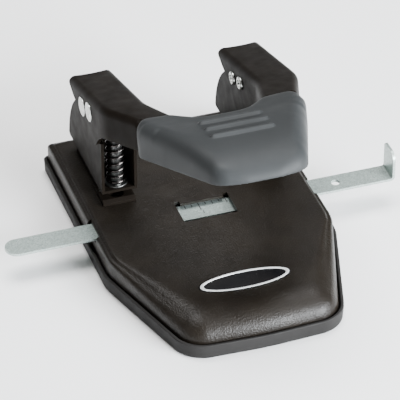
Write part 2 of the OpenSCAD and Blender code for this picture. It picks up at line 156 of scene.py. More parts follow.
def metal(name, low, high, rough, mottle, stretch=(1, 1, 1), metallic=1.0):
    """Bare or plated steel with mottled colour and fine drawn lines along one direction."""
    s = Shader(name)
    s.ramp(s.noise(mottle, 5, 0.65), [(0.3, low), (0.7, high)])
    s.bsdf.inputs["Metallic"].default_value = metallic
    s.roughness(s.noise(mottle * 1.7, 4), *rough)
    s.bump(s.noise(900, 2, 0.5, stretch), 0.12, 0.00006)
    return s.material


shell_paint = painted("shell_paint", (0.0074, 0.0057, 0.0042), (0.0120, 0.0095, 0.0071),
                      (0.30, 0.42), 0.22, 1300, 0.00042)
frame_paint = painted("frame_paint", (0.0052, 0.0039, 0.0029), (0.0080, 0.0062, 0.0047),
                      (0.42, 0.54), 0.035, 2000, 0.00004)
zinc_plate = metal("zinc_plate", (0.25, 0.31, 0.29), (0.54, 0.62, 0.59), (0.26, 0.48), 1500,
                   (0.25, 1, 1), 0.75)
rivet_steel = metal("rivet_steel", (0.42, 0.44, 0.42), (0.66, 0.67, 0.64), (0.20, 0.36), 500)
tool_steel = metal("tool_steel", (0.16, 0.16, 0.16), (0.26, 0.26, 0.25), (0.26, 0.40), 260)
spring_steel = metal("spring_steel", (0.055, 0.050, 0.047), (0.11, 0.10, 0.095), (0.16, 0.26), 500)


def make_tray_rubber():
    """Matte moulded rubber: warm grey, slightly uneven, with a fine matte grain."""
    s = Shader("tray_rubber")
    s.ramp(s.noise(30, 5, 0.6), [(0.25, (0.0150, 0.0143, 0.0138)), (0.75, (0.0215, 0.0206, 0.0200))])
    s.roughness(s.noise(220, 3), 0.58, 0.74)
    s.bsdf.inputs["Specular IOR Level"].default_value = 0.12
    s.bump(s.noise(2400, 2), 0.4, 0.00004)
    return s.material


def make_grip_plastic():
    """Satin moulded plastic with a fine spark-eroded grain and a faint drift of tone."""
    s = Shader("grip_plastic")
    s.ramp(s.noise(22, 4), [(0.3, (0.0190, 0.0206, 0.0212)), (0.7, (0.0245, 0.0268, 0.0280))])
    s.roughness(s.noise(120, 4), 0.50, 0.62)
    s.bsdf.inputs["Specular IOR Level"].default_value = 0.20
    s.bump(s.noise(3000, 2), 0.35, 0.00003)
    return s.material


def make_badge_face():
    """Gloss lacquer over black with a faint orange-peel."""
    s = Shader("badge_face")
    s.ramp(s.noise(60, 3), [(0.3, (0.006, 0.006, 0.007)), (0.7, (0.014, 0.013, 0.013))])
    s.roughness(s.noise(90, 3), 0.14, 0.24)
    s.bump(s.noise(700, 2), 0.1, 0.00004)
    return s.material


def make_scale_ink():
    """Dark printed ink, a little uneven."""
    s = Shader("scale_ink")
    s.ramp(s.noise(900, 3), [(0.3, (0.012, 0.012, 0.013)), (0.7, (0.045, 0.044, 0.045))])
    s.roughness(s.noise(600, 2), 0.45, 0.6)
    return s.material


bright_rim = metal("bright_rim", (0.80, 0.81, 0.80), (0.93, 0.93, 0.92), (0.30, 0.42), 120, metallic=0.35)
tray_rubber = make_tray_rubber()
grip_plastic = make_grip_plastic()
badge_face = make_badge_face()
scale_ink = make_scale_ink()


# ---- Mesh helpers ---------------------------------------------------------------------------

def paint(obj, material):
    obj.data.materials.clear()
    obj.data.materials.append(material)


SHARP_ANGLE = math.radians(32)


def link(name, bm, material, sharp_angle=SHARP_ANGLE):
    """Turns a bmesh into a piece with smooth faces, split where they meet at a sharp angle."""
    bmesh.ops.remove_doubles(bm, verts=bm.verts, dist=1e-6)
    bmesh.ops.recalc_face_normals(bm, faces=bm.faces)
    mesh = bpy.data.meshes.new(name)
    for face in bm.faces:
        face.smooth = True
    bm.to_mesh(mesh)
    bm.free()
    mesh.set_sharp_from_angle(angle=sharp_angle)
    obj = bpy.data.objects.new(name, mesh)
    bpy.context.scene.collection.objects.link(obj)
    paint(obj, material)
    return obj


def finish_piece(obj, body, slot, *replaced):
    """Says which body a piece rides on and the CAD nodes it stands for; the slot argument is not used."""
    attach(obj, body)
    if replaced:
        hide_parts(*replaced)
    return obj


def rounded(points, radii, steps=8):
    """A closed outline with its corners rounded."""
    made = []
    count = len(points)
    for i, (point, radius) in enumerate(zip(points, radii)):
        corner = Vector(point)
        to_last = (Vector(points[i - 1]) - corner).normalized()
        to_next = (Vector(points[(i + 1) % count]) - corner).normalized()
        half = math.acos(max(-1, min(1, to_last.dot(to_next)))) / 2
        middle = corner + (to_last + to_next).normalized() * radius / math.sin(half)
        start = corner + to_last * radius / math.tan(half) - middle
        end = corner + to_next * radius / math.tan(half) - middle
        angle = math.atan2(start.y, start.x)
        turn = math.atan2(start.x * end.y - start.y * end.x, start.dot(end))
        for k in range(steps + 1):
            a = angle + turn * k / steps
            made.append(middle + radius * Vector((math.cos(a), math.sin(a))))
    return made


def inward(points, distances):
    """Moves each point of a closed outline inward by its own distance."""
    count = len(points)
    area = sum(points[i - 1].x * points[i].y - points[i].x * points[i - 1].y for i in range(count))
    sign = 1 if area > 0 else -1
    moved = []
    for i, point in enumerate(points):
        along = (points[(i + 1) % count] - points[i - 1]).normalized()
        moved.append(point + sign * distances[i] * Vector((-along.y, along.x)))
    return moved


def ring_walls(bm, rings):
    """Joins closed rings of points, all of one length, with quads; returns the rings' vertices."""
    made = [[bm.verts.new(p) for p in ring] for ring in rings]
    for low, high in zip(made, made[1:]):
        count = len(low)
        for i in range(count):
            j = (i + 1) % count
            bm.faces.new((low[i], low[j], high[j], high[i]))
    return made


def fill(bm, ring):
    """Fills a closed ring of vertices, hollow outlines included; returns the triangles, facing up."""
    flat = [Vector((v.co.x, v.co.y, 0)) for v in ring]
    made = []
    for triangle in tessellate_polygon([flat]):
        a, b, c = (ring[i] for i in triangle)
        if (b.co - a.co).cross(c.co - a.co).z < 0:
            b, c = c, b
        made.append(bm.faces.new((a, b, c)))
    return made


def cut_grid(bm, faces, lines):
    """Cuts faces along planes: lines are (point, normal)."""
    live = set(faces)
    for point, normal in lines:
        geometry = list({v for f in live for v in f.verts} | {e for f in live for e in f.edges} | live)
        result = bmesh.ops.bisect_plane(bm, geom=geometry, plane_co=point, plane_no=normal, dist=1e-7)
        live = {g for g in result["geom"] if isinstance(g, bmesh.types.BMFace)}
    return list(live)


def lathe(profile, turns):
    """A solid of revolution about Z through (radius, height) points."""
    bm = bmesh.new()
    rings = [[Vector((r * math.cos(a), r * math.sin(a), z))
              for a in (math.tau * k / turns for k in range(turns))] for r, z in profile]
    ring_walls(bm, rings)
    return bm


def thicken(obj, thickness):
    """Gives a skin an even wall, inward from its outer face."""
    wall = obj.modifiers.new("sheet", "SOLIDIFY")
    wall.thickness = thickness
    wall.offset = -1


def face_up(obj):
    """Turns a skin over if its faces look down on the whole."""
    if sum(p.normal.z * p.area for p in obj.data.polygons) < 0:
        obj.data.flip_normals()


def soften(obj, width, segments=3, angle=30, weld=True):
    """Rounds the sharp edges of a CAD node or piece with modifiers."""
    if weld:
        obj.modifiers.new("weld", "WELD").merge_threshold = 2e-6
    bevel = obj.modifiers.new("bevel", "BEVEL")
    bevel.width = width
    bevel.segments = segments
    bevel.limit_method = "ANGLE"
    bevel.angle_limit = math.radians(angle)
    bevel.use_clamp_overlap = True
    bevel.harden_normals = True


# ---- Camera, floor and light ----------------------------------------------------------------

def make_stage():
    bm = bmesh.new()
    bmesh.ops.create_grid(bm, x_segments=8, y_segments=8, size=3.0)
    floor = link("floor", bm, make_floor_material())


def make_floor_material():
    s = Shader("floor_white")
    s.ramp(s.noise(2, 3), [(0.3, (0.93, 0.93, 0.93)), (0.7, (0.96, 0.96, 0.96))])
    s.bsdf.inputs["Roughness"].default_value = 0.9
    s.bsdf.inputs["Specular IOR Level"].default_value = 0.1
    return s.material


def make_camera():
    """A long lens from the front left, 36 degrees above the floor."""
    azimuth, elevation, roll = (math.radians(a) for a in (-18.5396, 35.9451, -0.2043))
    target = Vector((2.098, -6.536, 10.659)) * MM
    distance = 1338.84 * MM
    back = Vector((math.sin(azimuth) * math.cos(elevation), -math.cos(azimuth) * math.cos(elevation),
                   math.sin(elevation)))
    right = Vector((math.cos(azimuth), math.sin(azimuth), 0))
    up = back.cross(right)
    right, up = (math.cos(roll) * right + math.sin(roll) * up,
                 math.cos(roll) * up - math.sin(roll) * right)
    data = bpy.data.cameras.new("camera")
    data.lens = 270
    data.sensor_width = 36
    data.clip_start, data.clip_end = 0.05, 20
    camera = bpy.data.objects.new("camera", data)
    turn = Matrix((right, up, back)).transposed().to_4x4()
    camera.matrix_world = Matrix.Translation(target + back * distance) @ turn
    bpy.context.scene.collection.objects.link(camera)
    bpy.context.scene.camera = camera


LIT_POINT = Vector((0, -0.02, 0.03))


def add_area(name, location, size, power, colour=(1, 1, 1)):
    data = bpy.data.lights.new(name, "AREA")
    data.shape = "RECTANGLE"
    data.size, data.size_y = size
    data.energy = power
    data.color = colour
    lamp = bpy.data.objects.new(name, data)
    lamp.location = location
    aim = LIT_POINT - Vector(location)
    lamp.rotation_mode = "QUATERNION"
    lamp.rotation_quaternion = aim.to_track_quat("-Z", "Y")
    bpy.context.scene.collection.objects.link(lamp)


def make_lights():
    add_area("front_high", (0.70, -0.80, 1.40), (0.9, 0.6), 15)
    add_area("front_right", (0.80, -1.20, 0.45), (1.0, 0.7), 122, (0.92, 0.96, 1.0))
    add_area("left", (-1.2, -0.35, 0.55), (0.6, 0.6), 1, (1.0, 0.92, 0.84))
    add_area("overhead", (0.0, 0.45, 1.7), (1.4, 0.9), 56)
    world = bpy.data.worlds.new("world")
    world.use_nodes = True
    sky = world.node_tree.nodes["Background"]
    sky.inputs["Color"].default_value = (1, 1, 1, 1)
    sky.inputs["Strength"].default_value = 0.14
    bpy.context.scene.world = world


make_stage()
make_camera()
make_lights()


# ---- Shared curves --------------------------------------------------------------------------

def smooth_curve(points):
    """A function through (t, value) points that never overshoots between them."""
    ts = [t for t, _ in points]
    vs = [v for _, v in points]
    steps = [(vs[i + 1] - vs[i]) / (ts[i + 1] - ts[i]) for i in range(len(ts) - 1)]
    slopes = [steps[0]]
    for before, after in zip(steps, steps[1:]):
        slopes.append(0 if before * after <= 0 else 2 * before * after / (before + after))
    slopes.append(steps[-1])

    def value(t):
        if t <= ts[0]:
            return vs[0]
        if t >= ts[-1]:
            return vs[-1]
        i = max(k for k in range(len(ts) - 1) if ts[k] <= t)
        h = ts[i + 1] - ts[i]
        x = (t - ts[i]) / h
        return ((1 + 2 * x) * (1 - x) ** 2 * vs[i] + x * (1 - x) ** 2 * h * slopes[i]
                + x * x * (3 - 2 * x) * vs[i + 1] + x * x * (x - 1) * h * slopes[i + 1])

    return value


def dense(points, step):
    """A closed outline with its long edges divided."""
    made = []
    for i, point in enumerate(points):
        after = points[(i + 1) % len(points)]
        count = max(1, math.ceil((after - point).length / step))
        made += [point.lerp(after, k / count) for k in range(count)]
    return made


def evaluated_mesh(obj):
    """A new mesh as the object looks with its modifiers, or as its curve is drawn."""
    return bpy.data.meshes.new_from_object(obj.evaluated_get(bpy.context.evaluated_depsgraph_get()))


def freeze(obj):
    """Applies a piece's modifiers, so that helper objects it used can go."""
    mesh = evaluated_mesh(obj)
    obj.modifiers.clear()
    obj.data = mesh


def cut_away(obj, cutters):
    """Takes the cutters out of a piece, then removes them."""
    for i, cutter in enumerate(cutters):
        boolean = obj.modifiers.new(f"cut{i}", "BOOLEAN")
        boolean.operation = "DIFFERENCE"
        boolean.solver = "EXACT"
        boolean.object = cutter
    freeze(obj)
    for cutter in cutters:
        bpy.data.objects.remove(cutter)
    obj.data.set_sharp_from_angle(angle=SHARP_ANGLE)


def box_cutter(low, high):
    bm = bmesh.new()
    centre = (Vector(low) + Vector(high)) / 2
    size = Vector(high) - Vector(low)
    bmesh.ops.create_cube(bm, size=1, matrix=Matrix.Translation(centre) @ Matrix.Diagonal((*size, 1)))
    return link("cutter", bm, tool_steel)


def round_cutter(x, y, radius, low, high):
    bm = bmesh.new()
    bmesh.ops.create_cone(bm, cap_ends=True, segments=40, radius1=radius, radius2=radius, depth=high - low,
                          matrix=Matrix.Translation((x, y, (low + high) / 2)))
    return link("cutter", bm, tool_steel)


# ---- Base -----------------------------------------------------------------------------------

TRAY_HALF_W = tray_hi.x
TRAY_REAR = tray_hi.y
FRONT_HALF_W = 35.3 * MM
FRONT_Y = 102 * MM
BOW = 1.6 * MM
SIDE_CORNER = 42 * MM
# Corner radii of the base's outline, and the least each may shrink to further in
REAR_R, SIDE_R, FRONT_R, BOW_R = 3 * MM, 26 * MM, 15 * MM, 160 * MM
LEAST_REAR_R, LEAST_FRONT_R = 1 * MM, 5 * MM
SHEET = 1.2 * MM
TOP_Z = badge_lo.z
# The shell's side section turns into its front section over this stretch forward of the punches, in mm
BLEND_FROM, BLEND_LEN = 58, 38
# Ruler window, its relief notches and the side slots, in mm
WINDOW_X, WINDOW_Y = 0.4, -20.7
WINDOW_HALF_L, WINDOW_HALF_W = 12.4, 6.6
NOTCH_HALF, NOTCH_L = 1.2, 2.2
SLOT_FROM, SLOT_HALF_W, SLOT_BELOW = 49.95, 6.6, 0.6
PUNCH_CLEAR_R = 4.2


def base_outline(d):
    """The base's outline, drawn in by d from the tray's outer edge."""
    t = Vector((FRONT_HALF_W - TRAY_HALF_W, SIDE_CORNER - FRONT_Y)).normalized()
    n = Vector((t.y, -t.x))
    side_x = TRAY_HALF_W - d
    side_y = -SIDE_CORNER + d * n.y - d * (1 + n.x) / t.x * t.y
    front_y = -FRONT_Y + d
    front_x = TRAY_HALF_W + d * n.x + (front_y + SIDE_CORNER - d * n.y) / t.y * t.x
    points = [(side_x, TRAY_REAR - d), (side_x, side_y), (front_x, front_y), (0, front_y - BOW),
              (-front_x, front_y), (-side_x, side_y), (-side_x, TRAY_REAR - d)]
    rear_r, side_r, front_r = max(REAR_R - d, LEAST_REAR_R), SIDE_R - d, max(FRONT_R - d, LEAST_FRONT_R)
    return rounded(points, [rear_r, side_r, front_r, BOW_R, front_r, side_r, rear_r], 12)


def base_rings(stations):
    """Rings of the base's outline at (inset, height) stations, in millimetres."""
    return [[Vector((p.x, p.y, z * MM)) for p in base_outline(d * MM)] for d, z in stations]


def make_chip_tray():
    """The pan: drafted wall, rolled rim lip, floor and an inner locating ring."""
    outside = [(1.6, 0), (0.9, 0.15), (0.45, 0.55), (0.3, 1.2), (0.1, 5.2), (0, 5.9), (0, 6.6),
               (0.25, 7.0)]
    inside = [(1.1, 7.0), (1.4, 6.75), (1.5, 6.2), (1.6, 2.4), (2.0, 1.7), (2.8, 1.5)]
    ring = [(3.55, 1.3), (3.55, 4.4), (3.8, 4.7), (4.4, 4.7), (4.65, 4.4), (4.65, 1.3)]
    bm = bmesh.new()
    wall = ring_walls(bm, base_rings(outside + inside))
    bm.faces.new(list(reversed(wall[0])))
    bm.faces.new(wall[-1])
    ring_walls(bm, base_rings(ring))
    return finish_piece(link("tray_pan", bm, tray_rubber), "tray", "tray_rubber", "chip_tray")


def shell_rings():
    """Rings of the pressing: a narrow ledge along the sides and rear, one long soft slope at the front."""
    side = [(1.95, 1.7), (1.95, 6), (1.95, 12.9), (2.05, 13.7), (2.3, 14.35), (2.7, 14.8), (3.2, 15.0),
            (3.7, 15.06), (4.1, 15.2), (4.4, 15.5), (4.65, 15.85), (5.0, 16.1), (5.5, 16.25),
            (6.2, 16.3), (7.2, 16.3)]
    front = [(2.2, 1.7), (2.25, 5), (2.45, 7), (2.9, 8.6), (3.6, 10.1), (4.5, 11.4), (5.6, 12.5),
             (6.9, 13.5), (8.3, 14.3), (9.8, 15.0), (11.3, 15.5), (12.8, 15.87), (14.2, 16.1),
             (15.6, 16.24), (17.0, 16.3)]
    rings = []
    for (d1, z1), (d2, z2) in zip(side, front):
        ring = []
        for p, q, edge in zip(base_outline(d1 * MM), base_outline(d2 * MM), base_outline(0)):
            t = min(1, max(0, (-edge.y / MM - BLEND_FROM) / BLEND_LEN))
            ease = t * t * (3 - 2 * t)
            place = p.lerp(q, ease)
            ring.append(Vector((place.x, place.y, (z1 + (z2 - z1) * ease) * MM)))
        rings.append(ring)
    return rings


def make_shell():
    """Pressed sheet with its ruler window, ruler slots and punch holes."""
    bm = bmesh.new()
    rings = ring_walls(bm, shell_rings())
    top = bm.faces.new(rings[-1])
    bmesh.ops.triangulate(bm, faces=[top])
    shell = link("shell_pressing", bm, shell_paint)
    thicken(shell, SHEET)
    shell_cuts(shell)
    soften(shell, 0.3 * MM, 2, 50, weld=False)
    return finish_piece(shell, "base", "shell_paint", "base_shell")


def shell_cuts(shell):
    """The ruler's window with its two relief notches, the ruler's side slots and the holes."""
    half_l, half_w = WINDOW_HALF_L * MM, WINDOW_HALF_W * MM
    window = Vector((WINDOW_X, WINDOW_Y)) * MM
    mid = (ruler_lo.y + ruler_hi.y) / 2
    under, over = TOP_Z - 4 * MM, TOP_Z + 4 * MM
    cutters = [box_cutter((window.x - half_l, window.y - half_w, under),
                          (window.x + half_l, window.y + half_w, over))]
    for side in (-1, 1):
        notch = window.x + side * (half_l - NOTCH_HALF * MM)
        notch_half = (NOTCH_HALF - 0.01) * MM
        cutters.append(box_cutter((notch - notch_half, window.y + half_w - 1 * MM, under),
                                  (notch + notch_half, window.y + half_w + NOTCH_L * MM, over)))
        low_x, high_x = sorted((side * SLOT_FROM * MM, side * 60 * MM))
        cutters.append(box_cutter((low_x, mid - SLOT_HALF_W * MM, ruler_lo.z - SLOT_BELOW * MM),
                                  (high_x, mid + SLOT_HALF_W * MM, over)))
        cutters.append(round_cutter(side * half_spacing, 0, PUNCH_CLEAR_R * MM, under, over))
    cut_away(shell, cutters)


# How much further in the rim comes at the oval's ends and at its sides, in mm for one rim's width
RIM_AT_ENDS, RIM_AT_SIDES = 1.7, 1.05


def make_badge():
    """A plain oval badge: black plate, broad bright rim and a slightly domed black field."""
    middle = (badge_lo + badge_hi) / 2
    a, b = (badge_hi.x - badge_lo.x) / 2 / MM, (badge_hi.y - badge_lo.y) / 2 / MM
    base, top = badge_lo.z, badge_hi.z

    def oval(d, z):
        """A ring drawn in by d shares of the rim's width, at a share z of the badge's height."""
        return [Vector((middle.x + (a - RIM_AT_ENDS * d) * MM * math.cos(t),
                        middle.y + (b - RIM_AT_SIDES * d) * MM * math.sin(t),
                        base + z * (top - base))) for t in (math.tau * k / 128 for k in range(128))]

    def rings(stations):
        return [oval(d, z) for d, z in stations]

    bm = bmesh.new()
    plate = ring_walls(bm, rings([(0, 0), (0, 0.35), (0.1, 0.5), (0.5, 0.5)]))
    field = ring_walls(bm, rings([(1.2, 0.35), (1.6, 0.5), (2.6, 0.62), (4.0, 0.68)]))
    bm.faces.new(field[-1])
    bm.faces.new(list(reversed(plate[0])))
    finish_piece(link("badge_plate", bm, badge_face), "base", "badge_face", "name_badge")
    bm = bmesh.new()
    ring_walls(bm, rings([(0.35, 0.3), (0.35, 0.8), (0.45, 0.95), (0.7, 1), (1.1, 0.97), (1.24, 0.8),
                          (1.3, 0.2)]))
    finish_piece(link("badge_rim", bm, bright_rim), "base", "badge_face")


# ---- Ruler ----------------------------------------------------------------------------------

STRIP_T = 1.2 * MM
STRIP_TOP = ruler_lo.z + STRIP_T
BEND_R = 1.0 * MM
HOLE_X, HOLE_R = 62.5 * MM, 2 * MM
TICK_STEP = 25.4 / 8 * MM
# Scale marks, longest first: one every so many eighths of an inch, its length and its width in mm
MARKS = [(8, 5.4, 0.5), (4, 4.0, 0.38), (2, 3.0, 0.38), (1, 2.2, 0.38)]
INK_T = 0.05 * MM


def bent(s, y):
    """A point s along the strip's top face, round the bend and up the stop."""
    face_x = ruler_hi.x - STRIP_T
    flat = face_x - BEND_R
    arc = BEND_R * math.pi / 2
    if s <= flat:
        return Vector((s, y, STRIP_TOP))
    if s <= flat + arc:
        turn = (s - flat) / BEND_R
        return Vector((flat + BEND_R * math.sin(turn), y, STRIP_TOP + BEND_R * (1 - math.cos(turn))))
    return Vector((face_x, y, STRIP_TOP + BEND_R + s - flat - arc))


def make_ruler():
    """Flat strip with a rounded tip and a hole, bent up into a stop with rounded corners."""
    half = (ruler_hi.y - ruler_lo.y) / 2
    mid = (ruler_lo.y + ruler_hi.y) / 2
    flat = ruler_hi.x - STRIP_T - BEND_R
    end = flat + BEND_R * math.pi / 2 + ruler_hi.z - STRIP_TOP - BEND_R
    corners = [(ruler_lo.x, mid - half), (end, mid - half), (end, mid + half), (ruler_lo.x, mid + half)]
    outline = dense(rounded(corners, [half * 0.98, 4 * MM, 1.5 * MM, half * 0.98], 14), 6 * MM)
    hole = [Vector((HOLE_X + HOLE_R * math.cos(t), mid + HOLE_R * math.sin(t)))
            for t in (math.tau * k / 32 for k in range(32))]
    bm = bmesh.new()
    edges = []
    for loop in (outline, hole):
        verts = [bm.verts.new((p.x, p.y, 0)) for p in loop]
        edges += [bm.edges.new((verts[i - 1], verts[i])) for i in range(len(verts))]
    bmesh.ops.triangle_fill(bm, use_beauty=True, edges=edges)
    lines = [((flat + BEND_R * math.pi / 2 * k / 8, 0, 0), (1, 0, 0)) for k in range(9)]
    cut_grid(bm, bm.faces, lines)
    for vert in bm.verts:
        vert.co = bent(vert.co.x, vert.co.y)
    ruler = link("ruler_strip", bm, zinc_plate)
    face_up(ruler)
    thicken(ruler, STRIP_T)
    soften(ruler, 0.14 * MM, 2, 50, weld=False)
    return finish_piece(ruler, "ruler", "zinc_plate", "ruler_guide")


def make_scale():
    """Printed marks each eighth of an inch along the strip's rear edge, with generic inch digits."""
    rear = ruler_hi.y - 0.25 * MM
    origin = -1.0 * MM
    bm = bmesh.new()
    for k in range(-13, 14):
        length, wide = next((a * MM, b * MM) for every, a, b in MARKS if k % every == 0)
        centre = Vector((origin + k * TICK_STEP, rear - length / 2, STRIP_TOP))
        bmesh.ops.create_cube(bm, size=1, matrix=Matrix.Translation(centre)
                              @ Matrix.Diagonal((wide, length, INK_T, 1)))
    finish_piece(link("scale_marks", bm, scale_ink), "ruler", "zinc_plate")
    for k, digit in ((-8, "0"), (0, "1"), (8, "2")):
        curve = bpy.data.curves.new("digit", "FONT")
        curve.body = digit
        curve.size = 3.2 * MM
        curve.align_x = "CENTER"
        source = bpy.data.objects.new("digit_source", curve)
        bpy.context.scene.collection.objects.link(source)
        bpy.context.view_layer.update()
        mesh = evaluated_mesh(source)
        bpy.data.objects.remove(source)
        mesh.transform(Matrix.Translation((origin + k * TICK_STEP + 0.6 * MM, rear - 8.4 * MM,
                                           STRIP_TOP + INK_T / 2)))
        number = bpy.data.objects.new(f"scale_digit_{digit}", mesh)
        bpy.context.scene.collection.objects.link(number)
        paint(number, scale_ink)
        finish_piece(number, "ruler", "zinc_plate")


# ---- Springs and rivets ---------------------------------------------------------------------

WIRE_R = 0.5 * MM
CLOSED_PITCH, OPEN_PITCH = 1.25 * MM, 3.4 * MM


def make_spring(side):
    """A round-wire compression spring: closed end turns, open turns between."""
    low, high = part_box(f"{side}_spring")
    wire, closed, pitch = WIRE_R, CLOSED_PITCH, OPEN_PITCH
    open_turns = (high.z - low.z - 2 * closed - 2 * wire) / pitch
    turns, per_turn, round_wire = open_turns + 2, 32, 12
    x = punch_x[side]
    coil = high.x - x - wire
    bm = bmesh.new()
    rings = []
    count = int(turns * per_turn)
    for i in range(count + 1):
        t = turns * i / count
        z = (low.z + wire + closed * min(t, 1) + pitch * max(0, min(t - 1, open_turns))
             + closed * max(0, t - 1 - open_turns))
        a = math.tau * t
        ring = []
        for k in range(round_wire):
            b = math.tau * k / round_wire
            r = coil + wire * math.cos(b)
            ring.append(Vector((x + r * math.cos(a), r * math.sin(a), z + wire * math.sin(b))))
        rings.append(ring)
    made = ring_walls(bm, rings)
    bm.faces.new(list(reversed(made[0])))
    bm.faces.new(made[-1])
    spring = finish_piece(link(f"{side}_return_spring", bm, spring_steel), "base", "spring_steel",
                          f"{side}_spring")
    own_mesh(spring)


def make_rivet(name):
    """A semi-tubular rivet: broad domed head outside, rolled hollow end inside."""
    low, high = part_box(name)
    mid = (low + high) / 2
    outward = 1 if mid.x > 0 else -1
    face = ARM_HALF
    profile = [(0, -face + 5.2), (1.5, -face + 4.2), (1.5, -face - 0.6), (1.72, -face - 0.92),
               (2.25, -face - 1.0), (2.8, -face - 0.8), (3.08, -face - 0.4), (3.05, -face), (2.17, -face),
               (2.17, face), (4.28, face), (4.4, face + 0.12), (4.38, face + 0.3), (4.15, face + 0.44),
               (3.4, face + 0.64), (2.4, face + 0.79), (1.2, face + 0.87), (0, face + 0.9)]
    bm = lathe([(r * MM, z * MM) for r, z in profile], 48)
    centre = Vector((outward * half_spacing, mid.y, mid.z))
    across = Matrix.Rotation(outward * math.pi / 2, 4, "Y")
    bmesh.ops.transform(bm, matrix=Matrix.Translation(centre) @ across, verts=bm.verts)
    rivet = link(f"{name}_formed", bm, rivet_steel, math.radians(40))
    return finish_piece(rivet, "handle", "rivet_steel", name)


# ---- Handle, drawn in mm in its own frame ---------------------------------------------------

PLATE_TOP = 7.5
BEND_Y = -28.9
ARM_REAR = 22.6
JOGGLE, JOGGLE_FROM, JOGGLE_TO = 3.4, 23.2, 26.8
ARM_OUT = half_spacing / MM + ARM_HALF
ARM_IN = half_spacing / MM - ARM_HALF
YOKE_T = 1.6
YOKE_FRONT = 61
YOKE_TAPER, INNER_TAPER = math.radians(20), math.radians(13)
INNER_TAPER_LEN, CROSSBAR_FROM = 24, 36
FRONT_CLIP = 6
# Lengths of the grip, forward from the arms' bend
GRIP_FROM, GRIP_NOTCH, CROWN_FROM, GRIP_TO = 22.5, 31.8, 40, 83.4
GRIP_BOTTOM = -7.5
GRIP_WALL = 2.2
GRIP_REAR_HALF, GRIP_SIDE_SLOPE, GRIP_CORNER_AT = 40.4, 0.3545, 80.4
CROWN_POWER = 2.2
# Raised bars across the grip
BAR_AT = (41.5, 49.4, 57.2)
BAR_R, BAR_HALF, BAR_SINK = 1.9, 12.4, 0.62

flange_bottom = smooth_curve([(-95, -5.6), (-49.4, -6), (-29, -6.2), (-20.5, -9), (-13, -13.8),
                              (-7, -15.2), (1, -15), (30, -15)])
joggle_drop = smooth_curve([(BEND_Y - JOGGLE_TO, JOGGLE), (BEND_Y - JOGGLE_FROM, 0)])


def to_row(bm):
    """From the raised handle's own frame, in millimetres, to the row frame."""
    bmesh.ops.transform(bm, matrix=RAISED @ Matrix.Scale(MM, 4), verts=bm.verts)


def make_yoke():
    """One folded sheet: two channel arms with rounded bends that run into a lowered crossbar."""
    bend_r = 3.2
    front_y = BEND_Y - YOKE_FRONT
    front_half = ARM_OUT - YOKE_FRONT * math.tan(YOKE_TAPER)
    in_front = ARM_IN - INNER_TAPER_LEN * math.tan(INNER_TAPER)
    past = ARM_REAR + 10
    side = [(13.5, BEND_Y - CROSSBAR_FROM, 11), (in_front, BEND_Y - INNER_TAPER_LEN, 12),
            (ARM_IN, BEND_Y - 1, 40), (ARM_IN, past, 4), (ARM_OUT, past, 4), (ARM_OUT, BEND_Y, 28),
            (front_half + 2.2, front_y + FRONT_CLIP, 6), (front_half - FRONT_CLIP, front_y, 5)]
    corners = side + [(-x, y, r) for x, y, r in reversed(side)]
    outline = dense(rounded([(x, y) for x, y, _ in corners], [r for _, _, r in corners], 10), 1.4)

    def top(y):
        return PLATE_TOP - joggle_drop(y)

    def ring(inset, height):
        moved = inward(outline, [inset] * len(outline))
        return [Vector((p.x, p.y, height(q.y))) for p, q in zip(moved, outline)]

    rings = [ring(0, flange_bottom)]
    for k in range(9):
        turn = math.pi / 2 * k / 8
        rings.append(ring(bend_r * (1 - math.cos(turn)),
                          lambda y: top(y) - bend_r * (1 - math.sin(turn))))
    bm = bmesh.new()
    walls = ring_walls(bm, rings)
    faces = fill(bm, walls[-1])
    lines = [((0, BEND_Y - JOGGLE_FROM - k, 0), (0, 1, 0)) for k in (0, 0.7, 1.4, 2, 2.6, 3.3, 4)]
    for face in cut_grid(bm, faces, lines):
        for vert in face.verts:
            vert.co.z = top(vert.co.y)
    to_row(bm)
    yoke = link("yoke_pressing", bm, frame_paint)
    face_up(yoke)
    thicken(yoke, YOKE_T * MM)
    cut_away(yoke, [rear_cutter(), heel_cutter()])
    soften(yoke, 0.3 * MM, 3, 50)
    return finish_piece(yoke, "handle", "frame_paint", "handle_yoke")


def prism(points, axis, low, high):
    """A straight prism in the raised handle's frame: points lie across the X or Z axis."""
    bm = bmesh.new()
    place = {"X": lambda a, b, t: (t, a, b), "Z": lambda a, b, t: (a, b, t)}[axis]
    ends = [[bm.verts.new(place(a, b, t)) for a, b in points] for t in (low, high)]
    for i in range(len(points)):
        j = (i + 1) % len(points)
        bm.faces.new((ends[0][i], ends[0][j], ends[1][j], ends[1][i]))
    bm.faces.new(list(reversed(ends[0])))
    bm.faces.new(ends[1])
    to_row(bm)
    return link("cutter", bm, tool_steel)


def rear_cutter():
    """Trims the arms' rear edges, each slightly hollow between its two bends."""
    middle = half_spacing / MM
    hollow, hollow_half, reach = 1.3, 8.8, 54
    edge = [(x, ARM_REAR - hollow * max(0, 1 - ((abs(x) - middle) / hollow_half) ** 2))
            for x in range(-reach, reach + 1)]
    return prism(edge + [(reach, ARM_REAR + 40), (-reach, ARM_REAR + 40)], "Z", -40, 30)


def heel_cutter():
    """Trims the flanges' lower rear edge, from the rear corner down to the ear round the pivot."""
    heel = [(1.6, -30), (1.6, -15.6), (2.9, -14.4), (3.7, -13), (4.6, -11), (6.6, -6.6), (8.5, -4.6),
            (12, -2.6), (17, 0.6), (22.6, 5.3), (36, 17), (36, -30)]
    return prism(heel, "X", -60, 60)


